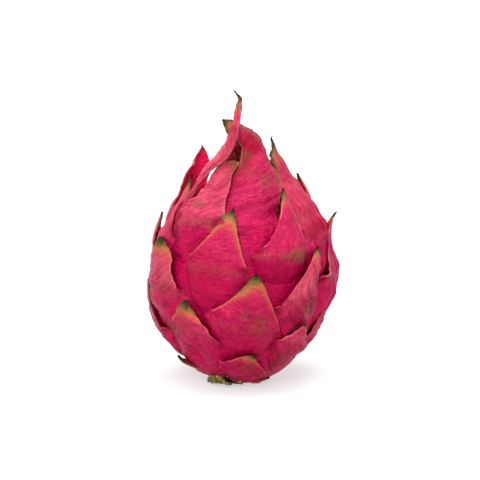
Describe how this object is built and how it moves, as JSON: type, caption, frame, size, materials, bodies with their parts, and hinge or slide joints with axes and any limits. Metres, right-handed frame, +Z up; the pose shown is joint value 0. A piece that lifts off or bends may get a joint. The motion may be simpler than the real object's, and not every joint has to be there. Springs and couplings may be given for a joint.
{
  "type": "dragon fruit",
  "caption": "Whole red dragon fruit standing on its stem end, with overlapping leaf-like bracts, a tall folded crown and a dried stub of stem.",
  "frame": {"origin": "middle of the small flat spot that the fruit stands on, on the surface below it", "axes": "+Z up along the fruit from its stem end to its crown, -Y towards the face seen first, +X to that face's right"},
  "size_m": [0.0958, 0.0962, 0.1463],
  "materials": {
    "peel": "waxy satin peel, crimson to pink, with green, straw and brown bract tips",
    "dried_stem": "dry, rough, ribbed stem tissue",
    "dried_flower": "dry, papery flower remains"
  },
  "bodies": {
    "root": {"fruit": "peel", "stem_stub": "dried_stem", "flower_remnant": "dried_flower"}
  },
  "joints": []
}
